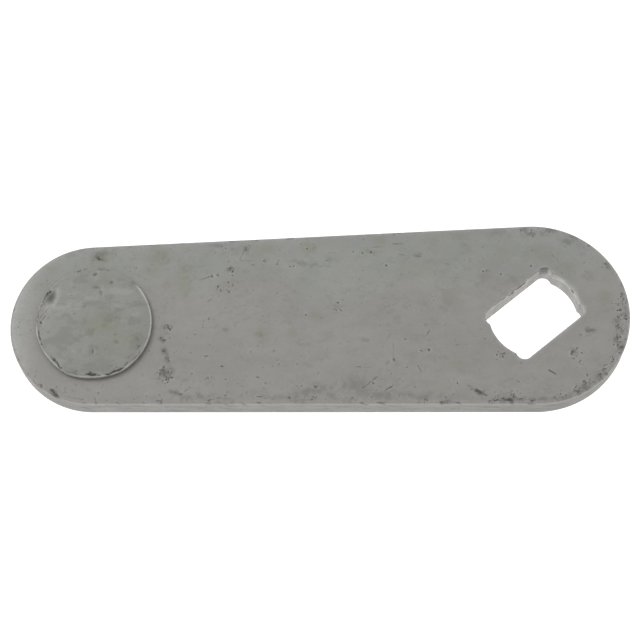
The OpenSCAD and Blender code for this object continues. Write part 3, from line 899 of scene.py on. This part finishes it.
def head_field(marks):
    """The riveted head's top: a low crown, a rolled lip with a painted highlight, crevices inside it
    painted dark as shade, and flow marks.
    """
    def field(x, y):
        u, v = x - PIN_X, y
        angle = np.arctan2(v, u)
        inside = head_reach(angle) - np.hypot(u, v)
        height, grime_and_shade, wear_and_highlight = marks.press(x, y)
        lip = by_angle(LIP, angle) * (0.85 + 0.3 * noise(u, v, 2.0, 71, 2))
        rim = bump((inside - 0.19) / by_angle(LIP_WIDTH, angle))
        flow = noise(u / 2.8, v, 1.7, 72, 3) * smooth((v + 1) / 5) * smooth(inside / 3)
        z = HEAD_TOP - 0.16 - 0.10 * smooth(1 - inside / 3) + 0.10 * lip * rim + 0.045 * flow
        z += 0.012 * noise(x, y, 4.0, 73, 3) + height
        # Painted highlight along the lip.
        wear_and_highlight = np.maximum(wear_and_highlight, 1.1 * lip * rim)
        wear_and_highlight = np.maximum(wear_and_highlight, 0.22 * smooth(2.2 * flow - 0.5))
        z, grime_and_shade, wear_and_highlight = cut_crevices(z, grime_and_shade, wear_and_highlight, u, v, inside)
        grime_and_shade = np.maximum(grime_and_shade, 0.15 * smooth(0.15 + 1.3 * noise(u / 1.5, v, 2.0, 76, 4)))
        pale = smooth(-0.2 + 1.6 * noise(u, v / 1.3, 2.4, 77, 4)) * smooth((2 - u) / 8)
        wear_and_highlight = np.maximum(wear_and_highlight, 0.16 * pale)
        olive = patches(x, y, HEAD_OLIVES, 19, 0.18)
        return z, grime_and_shade, wear_and_highlight, olive, 0.25
    return field


def under_head_profile():
    """(radius, height, grime and shade, wear and highlight) down the head's wall, under its rim and down
    the tenon. The wall has a painted highlight round its middle and painted shade at its foot.
    """
    low = THICK + 0.02
    rows = [(HEAD_R, HEAD_TOP - 0.42, 0.2, 0.1), (HEAD_R, HEAD_TOP - 0.60, 0.1, 0.5)]
    rows += [(HEAD_R, HEAD_TOP - 0.72, 0.0, 0.9), (HEAD_R, low + 0.25, 0.0, 0.6)]
    rows += [(HEAD_R - 0.10, low + 0.10, 0.4, 0.2), (HEAD_R - 0.35, low, 0.9, 0.0)]
    rows += [(r, low, 0.3, 0.0) for r in np.linspace(HEAD_R - 1, TENON_R, 5)]
    rows += [(TENON_R, z, 0.2, 0.0) for z in np.linspace(low - 0.3, 0.0, 6)]
    return rows


def journal_profile():
    """(radius, height, grime and shade, wear and highlight) from the journal's shoulder down to its ring
    groove and past it; darker in the groove, lighter at its edges.
    """
    rows = [(r, 0.0, 0.2, 0.0) for r in (TENON_R + 0.1, JOURNAL_R - 0.2)]
    rows += [(JOURNAL_R - 0.08, -0.02, 0.1, 0.3), (JOURNAL_R, -0.12, 0.0, 0.4)]
    rows += [(JOURNAL_R, z, 0.0, 0.2) for z in np.linspace(-0.5, GROOVE_HIGH + 0.06, 14)]
    groove_r = JOURNAL_R - GROOVE_DEPTH
    rows += [(JOURNAL_R - 0.05, GROOVE_HIGH, 0.1, 0.6), (groove_r + 0.06, GROOVE_HIGH - 0.02, 0.7, 0.0)]
    rows += [(groove_r, GROOVE_HIGH - 0.08, 0.7, 0.0), (groove_r, GROOVE_LOW + 0.08, 0.7, 0.0)]
    rows += [(groove_r + 0.06, GROOVE_LOW + 0.02, 0.7, 0.0), (JOURNAL_R - 0.05, GROOVE_LOW, 0.1, 0.6)]
    return rows + [(JOURNAL_R, GROOVE_LOW - 0.06, 0.0, 0.4)]


def end_profile():
    """(radius, height, grime and shade, wear and highlight) round the journal's chamfer, over its end and
    into the centre drill; darker deeper in.
    """
    chamfer_top = JOURNAL_END + JOURNAL_CHAMFER
    end_r = JOURNAL_R - JOURNAL_CHAMFER
    rows = [(JOURNAL_R, chamfer_top + 0.08, 0.0, 0.5), (JOURNAL_R - 0.03, chamfer_top, 0.0, 0.7)]
    rows += [(end_r + 0.08, JOURNAL_END + 0.08, 0.0, 0.5), (end_r - 0.05, JOURNAL_END, 0.0, 0.6)]
    rows += [(r, JOURNAL_END, 0.05, 0.1) for r in np.linspace(end_r - 0.5, 2.2, 9)]
    rows += [(2.0, JOURNAL_END + 0.03, 0.2, 0.5), (1.85, JOURNAL_END + 0.15, 0.4, 0.0)]
    rows += [(0.8, JOURNAL_END + 1.95, 0.6, 0.0), (0.7, JOURNAL_END + 3.2, 0.8, 0.0)]
    return rows + [(0.12, JOURNAL_END + 3.6, 0.9, 0.0)]


def head_ring(inset):
    """The head's outline, moved inward by inset."""
    angle = 2 * math.pi * np.arange(PIN_COLUMNS) / PIN_COLUMNS
    r = head_reach(angle) - inset
    return np.column_stack([PIN_X + r * np.cos(angle), r * np.sin(angle)])


def head_rows(field):
    """Rows from inside the head's lip out to its rim and round the edge to its wall."""
    rows = []
    for inset in np.append(np.linspace(HEAD_BORDER, 1.0, 3), np.arange(0.9, HEAD_ROUND, -0.07)):
        ring = head_ring(inset)
        z, *values = field(*ring.T)
        rows.append((np.column_stack([ring, z]), *values))
    ring = head_ring(HEAD_ROUND)
    z, *values = field(*ring.T)
    for a in np.linspace(0, math.pi / 2, EDGE_ROWS + 1):
        ring = head_ring(HEAD_ROUND * (1 - math.sin(a)))
        level = z - HEAD_ROUND * (1 - math.cos(a))
        # The lip's painted highlight fades round the edge.
        lit = values[1] * (0.8 - 0.6 * math.sin(a))
        rows.append((np.column_stack([ring, level]), 0.6 * values[0], lit, values[2], 0.3))
    return rows


def profile_rows():
    """Rows of points round the pin. The head's wall follows its uneven rim."""
    rows = []
    for r, z, grime_and_shade, wear_and_highlight in under_head_profile() + journal_profile() + end_profile():
        ring = pin_ring(r, PIN_COLUMNS)
        if r > JOURNAL_R + 1 and z > THICK:
            ring = head_ring(HEAD_R - r + 0.04 * np.abs(noise(ring[:, 0] + z, ring[:, 1], 1.5, 81, 3)))
        rows.append((np.column_stack([ring, np.full(len(ring), z)]), grime_and_shade, wear_and_highlight, 0.0, 0.3))
    return rows


def build_pin(material):
    """The pin: the head's face and rim, everything below it, and the tip of the centre drill."""
    shell = Shell()
    marks = head_marks()
    field = head_field(marks)

    def keep(x, y, gap=0.0):
        return head_reach(np.arctan2(y, x - PIN_X)) - HEAD_BORDER - pin_distance(x, y) > gap

    low = np.array([PIN_X - HEAD_R, -HEAD_R])
    grid = thinned(hex_grid(low, low + 2 * HEAD_R, HEAD_STEP), marks)
    points = np.vstack([grid, marks.points()])
    points = points[keep(*points.T, gap=HEAD_GAP)]
    shell.sheet([head_ring(HEAD_BORDER)], points, keep, field)
    shell.rows(head_rows(field) + profile_rows())
    shell.faces.append(list(range(shell.count - PIN_COLUMNS, shell.count)))
    return shell.build("crank_pin_steel", material)


# ----- Materials -----
def fill(node, values):
    """Sets a node's inputs. Each value is a number, a colour or another node's output."""
    for key, value in values.items():
        if isinstance(value, bpy.types.NodeSocket):
            node.id_data.links.new(value, node.inputs[key])
        else:
            node.inputs[key].default_value = value


class Tree:
    """A short way to write a material's nodes."""

    def __init__(self, name):
        self.material = bpy.data.materials.new(name)
        self.material.use_nodes = True
        self.nodes = self.material.node_tree.nodes
        self.shader = self.nodes["Principled BSDF"]
        self.coords = self.nodes.new("ShaderNodeTexCoord").outputs["Object"]

    def attribute(self, name):
        node = self.nodes.new("ShaderNodeAttribute")
        node.attribute_name = name
        return node.outputs["Fac"]

    def math(self, operation, *values, clamp=False):
        node = self.nodes.new("ShaderNodeMath")
        node.operation = operation
        node.use_clamp = clamp
        fill(node, dict(enumerate(values)))
        return node.outputs[0]

    def noise(self, size, detail=4.0, rough=0.55, stretch=(1, 1, 1), shift=0.0):
        """Noise from 0 to 1 with features of about the given size in millimetres."""
        place = self.nodes.new("ShaderNodeMapping")
        scale = 1 / (size * MM)
        fill(place, {"Vector": self.coords, "Scale": [scale * s for s in stretch]})
        fill(place, {"Location": (shift, 2 * shift, 3 * shift)})
        node = self.nodes.new("ShaderNodeTexNoise")
        fill(node, {"Vector": place.outputs[0], "Scale": 1.0, "Detail": detail, "Roughness": rough})
        return node.outputs["Fac"]

    def spread(self, value, low, high, to_low=0.0, to_high=1.0):
        """Maps low..high to to_low..to_high, smoothly and clamped."""
        node = self.nodes.new("ShaderNodeMapRange")
        node.interpolation_type = "SMOOTHSTEP"
        fill(node, {"Value": value, "From Min": low, "From Max": high})
        fill(node, {"To Min": to_low, "To Max": to_high})
        return node.outputs["Result"]

    def mix(self, factor, a, b, blend="MIX"):
        node = self.nodes.new("ShaderNodeMix")
        node.data_type = "RGBA"
        node.blend_type = blend
        fill(node, {0: factor, 6: a, 7: b})
        return node.outputs[2]

    def bump(self, height, strength, distance, normal=None):
        node = self.nodes.new("ShaderNodeBump")
        fill(node, {"Height": height, "Strength": strength, "Distance": distance * MM})
        if normal is not None:
            fill(node, {"Normal": normal})
        return node.outputs["Normal"]


# Linear colours: the steel's tints, its stains, the grime in its pits together with painted shade, and its
# worn edges together with painted highlights
COOL_GREY = (0.360, 0.366, 0.347, 1.0)
WARM_GREY = (0.366, 0.356, 0.340, 1.0)
BROWN_GREY = (0.355, 0.333, 0.301, 1.0)
OLIVE = (0.320, 0.326, 0.268, 1.0)
GRIME_AND_SHADE = (0.050, 0.047, 0.042, 1.0)
BRIGHT = (0.600, 0.595, 0.585, 1.0)


def steel_tint(t, shift, shade, mottle, grain):
    """Clean steel's colour: a cool to brown grey with olive stains, clouded and finely grained."""
    warm = t.attribute("warm")
    tint = t.mix(t.spread(warm, 0.0, 0.55), COOL_GREY, WARM_GREY)
    tint = t.mix(t.spread(warm, 0.60, 1.0), tint, BROWN_GREY)
    tint = t.mix(t.math("MULTIPLY", t.attribute("olive"), 0.85), tint, OLIVE)
    fine = t.spread(grain, 0.25, 0.75, -0.036, 0.036)
    tone = t.math("ADD", t.spread(mottle, 0.3, 0.7, 0.96, 1.04), fine)
    clouds = t.noise(11, 3, 0.5, stretch=(0.6, 1, 1), shift=shift + 2)
    tone = t.math("MULTIPLY", tone, t.spread(clouds, 0.35, 0.65, 0.97 * shade, 1.03 * shade))
    return t.mix(1.0, tint, tone, "MULTIPLY")


def steel(name, shift, shade=1.0, lathed=False):
    """Dull grey blasted steel, darkened by grime and painted shade, and lightened on worn edges and painted
    highlights. Lathed steel has fine rings.
    """
    t = Tree(name)
    mottle = t.noise(2.2, 5, 0.62, stretch=(0.6, 1, 1), shift=shift + 5)
    grain = t.noise(0.36, 3, 0.6, shift=shift + 9)
    tint = steel_tint(t, shift, shade, mottle, grain)
    # Worn places and painted highlights both lighten the steel here.
    wear_and_highlight = t.math("MULTIPLY", t.attribute("wear_and_highlight"), t.spread(grain, 0.3, 0.7, 0.6, 1.0), clamp=True)
    tint = t.mix(t.math("MULTIPLY", wear_and_highlight, 0.80), tint, BRIGHT)
    speck = t.spread(t.noise(0.8, 2, 0.5, shift=shift + 14), 0.68, 0.76, 0.0, 0.35)
    # Grime and painted shade both darken the steel here.
    grime_and_shade = t.math("MAXIMUM", t.attribute("grime_and_shade"), speck)
    tint = t.mix(t.math("MULTIPLY", grime_and_shade, 0.80), tint, GRIME_AND_SHADE)
    rough = t.math("ADD", t.spread(mottle, 0.3, 0.7, 0.48, 0.58), t.math("MULTIPLY", grime_and_shade, 0.22))
    normal = t.bump(mottle, 0.25, 0.06)
    normal = t.bump(grain, 0.40, 0.035, normal)
    if lathed:
        rings = t.noise(0.32, 2, 0.6, stretch=(0.02, 0.02, 1.0), shift=3.0)
        normal = t.bump(rings, 0.35, 0.05, normal)
    fill(t.shader, {"Base Color": tint, "Roughness": rough, "Normal": normal, "Metallic": 0.8})
    return t.material


# ----- Stage, light and camera -----
WHITE = (1, 1, 1, 1)
# The table's reach each way and its distance below the journal's end, in metres, and how much it glows
TABLE_REACH = 3.0
TABLE_GAP = 0.0002
TABLE_GLOW = 0.9
# The tent's brightness at its sides and at its top
TENT_SIDES = 1.0
TENT_TOP = 0.62


def build_floor():
    """A white lit table under the journal's end."""
    reach, z = TABLE_REACH, JOURNAL_END * MM - TABLE_GAP
    mesh = bpy.data.meshes.new("floor")
    corners = [(-reach, -reach, z), (reach, -reach, z), (reach, reach, z), (-reach, reach, z)]
    mesh.from_pydata(corners, [], [(0, 1, 2, 3)])
    table = Tree("table_white")
    fill(table.shader, {"Base Color": (0.5, 0.5, 0.5, 1), "Roughness": 0.9})
    fill(table.shader, {"Emission Color": WHITE, "Emission Strength": TABLE_GLOW})
    mesh.materials.append(table.material)
    add_object("floor", mesh)


def build_world():
    """A light tent: white all round, a little dimmer overhead than at the sides."""
    world = bpy.data.worlds.new("tent")
    bpy.context.scene.world = world
    world.use_nodes = True
    nodes = world.node_tree.nodes
    place = nodes.new("ShaderNodeTexCoord")
    parts = nodes.new("ShaderNodeSeparateXYZ")
    fill(parts, {"Vector": place.outputs["Generated"]})
    ramp = nodes.new("ShaderNodeMapRange")
    fill(ramp, {"Value": parts.outputs["Z"], "From Min": 0.2, "From Max": 1.0})
    fill(ramp, {"To Min": TENT_SIDES, "To Max": TENT_TOP})
    fill(nodes["Background"], {"Color": WHITE, "Strength": ramp.outputs[0]})


def area_light(name, place, aim, size, power):
    """A round soft light, with its place, aim and size in metres and its power in watts."""
    data = bpy.data.lights.new(name, "AREA")
    data.shape = "DISK"
    data.size = size
    data.energy = power
    light = add_object(name, data)
    light.location = place
    light.rotation_euler = (Vector(aim) - Vector(place)).to_track_quat("-Z", "Y").to_euler()


# The camera's direction from AIM, its roll, its distance in metres and its lens in millimetres
VIEW_AZIMUTH = math.radians(1.01)
VIEW_ELEVATION = math.radians(69.84)
VIEW_ROLL = math.radians(-2.36)
VIEW_DISTANCE = 0.37966
VIEW_LENS = 101.40
VIEW_SENSOR = 36
AIM = Vector((-0.04531, -0.00036, 0.006))


def build_camera():
    """The camera, aimed at AIM and rolled about its own axis."""
    data = bpy.data.cameras.new("camera")
    data.sensor_width = VIEW_SENSOR
    data.lens = VIEW_LENS
    data.clip_start = 0.01
    camera = add_object("camera", data)
    level = math.cos(VIEW_ELEVATION)
    ahead = Vector((
        -math.sin(VIEW_AZIMUTH) * level,
        math.cos(VIEW_AZIMUTH) * level,
        -math.sin(VIEW_ELEVATION),
    ))
    right = ahead.cross(Vector((0, 0, 1))).normalized()
    up = right.cross(ahead)
    turn = Matrix.Rotation(VIEW_ROLL, 3, -ahead)
    right, up = turn @ right, turn @ up
    axes = Matrix((right, up, -ahead)).transposed()
    camera.matrix_world = Matrix.Translation(AIM - ahead * VIEW_DISTANCE) @ axes.to_4x4()
    bpy.context.scene.camera = camera


# ----- The scene -----
plate = build_plate(steel("bar_steel", 0.0))
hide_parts("arm_plate")
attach(plate, "root")

# The pin uses the plate's steel, made 8% darker as painted shade.
pin = build_pin(steel("pin_steel", 20.0, shade=0.92, lathed=True))
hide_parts("crank_pin")
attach(pin, "root")

build_floor()
build_world()
area_light("key", place=(-1.3, 0.9, 1.7), aim=(-0.05, 0, 0), size=0.7, power=5.0)
build_camera()
bpy.context.scene.view_settings.view_transform = "Standard"
